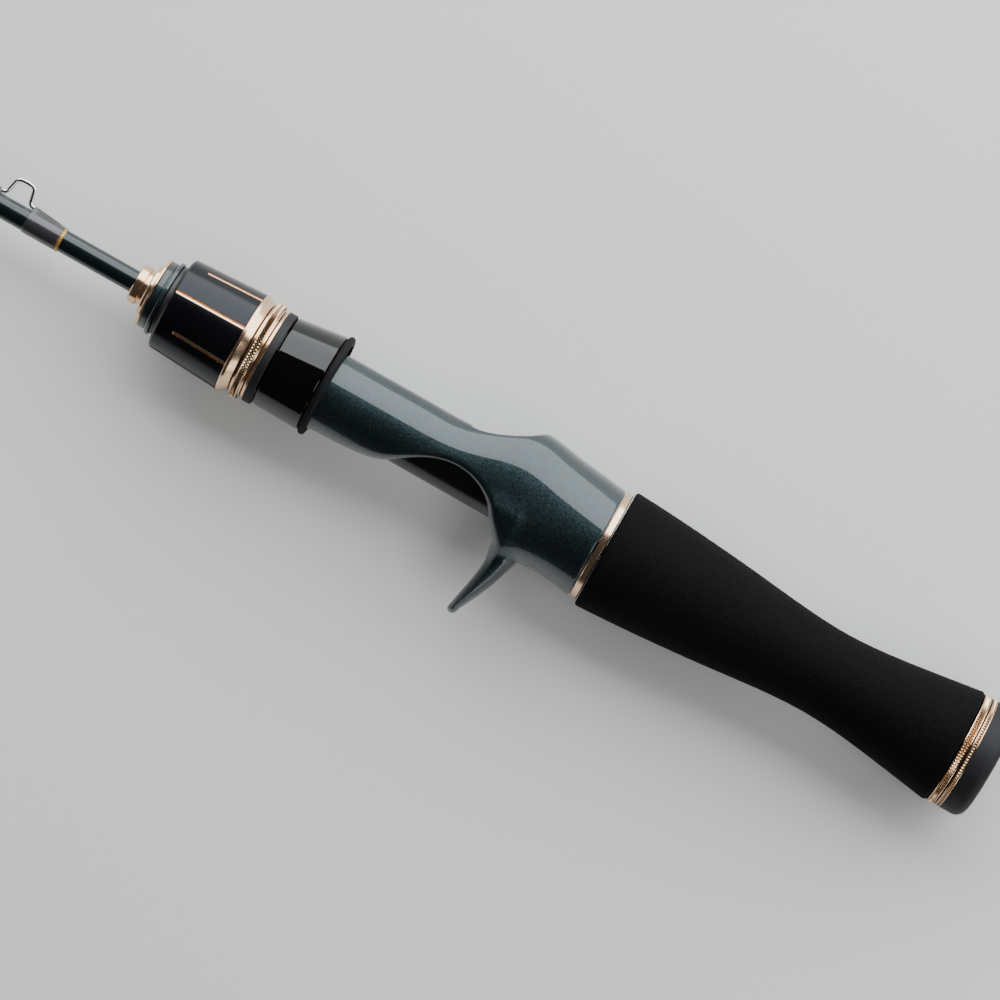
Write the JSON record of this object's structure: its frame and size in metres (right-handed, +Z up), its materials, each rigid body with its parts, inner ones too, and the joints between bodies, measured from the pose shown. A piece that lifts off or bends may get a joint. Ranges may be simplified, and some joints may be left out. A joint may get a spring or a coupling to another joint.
{
  "type": "casting rod handle section",
  "caption": "Handle section of a baitcasting fishing rod: blank with tip socket and hook keeper, trigger reel seat with a screw-down moving hood, foam rear grip and butt cap.",
  "frame": {"origin": "on the surface that the rod lies on, under the middle of its box; the rod's own axis runs along X at y 7.65 mm and z 16.1 mm", "axes": "+X along the rod towards the butt, +Y towards the side that the reel sits on (the trigger points to -Y), +Z up, out of the rod's flat side"},
  "size_m": [0.3554, 0.0511, 0.0322],
  "materials": {
    "blank_lacquer": "deep teal gloss lacquer over graphite",
    "black_thread": "black whipping thread under clear epoxy",
    "gold_thread": "metallic gold thread under clear epoxy",
    "keeper_steel": "polished stainless wire",
    "champagne_gold": "polished champagne gold anodised",
    "seat_paint": "dark green metallic flake under clear coat",
    "black_moulding": "satin black moulded plastic",
    "carbon_tube": "gloss black wound graphite tube",
    "foam_arbor": "rigid foam",
    "nut_black": "gloss black anodised",
    "hood_black": "mirror gloss black",
    "soft_black": "matte black rubber",
    "grip_foam": "fine-pored black EVA foam",
    "cap_rubber": "smooth satin black rubber",
    "spring_steel": "bright spring steel"
  },
  "bodies": {
    "rod": {"blank": "blank_lacquer", "ferrule_wrap": "black_thread", "ferrule_trim_front": "gold_thread", "ferrule_trim_rear": "gold_thread", "hook_keeper": "keeper_steel", "keeper_wrap_front": "black_thread", "keeper_wrap_rear": "black_thread", "keeper_trim_front": "gold_thread", "keeper_trim_rear": "gold_thread", "winding_check": "champagne_gold", "seat_end_cap": "seat_paint", "seat_barrel": "black_moulding", "seat_core_tube": "carbon_tube", "seat_arbor_front": "foam_arbor", "seat_arbor_rear": "foam_arbor", "seat_body": "seat_paint", "seat_trim_ring": "champagne_gold", "rear_grip": "grip_foam", "butt_ring": "champagne_gold", "butt_cap": "cap_rubber", "butt_plug": "foam_arbor"},
    "hood": {"moving_hood": "hood_black", "hood_lip": "soft_black", "hood_snap_ring": "spring_steel"},
    "nut": {"lock_nut": "nut_black", "nut_collar": "champagne_gold", "nut_spacer": "champagne_gold", "nut_knurled_ring": "champagne_gold", "nut_plain_ring": "champagne_gold", "nut_thrust_ring": "soft_black"}
  },
  "joints": [
    {"name": "hood_slide", "type": "slide", "parent": "rod", "child": "hood", "axis": [1, 0, 0], "range_m": [0, 0.015]},
    {"name": "nut_turn", "type": "hinge", "parent": "hood", "child": "nut", "pos_m": [-0.0317, 0.00765, 0.0161], "axis": [1, 0, 0], "range_deg": [0, 2700]}
  ],
  "couplings": [
    {"joint": "nut_turn", "follows": "hood_slide", "rad_per_m": 3141.6}
  ]
}
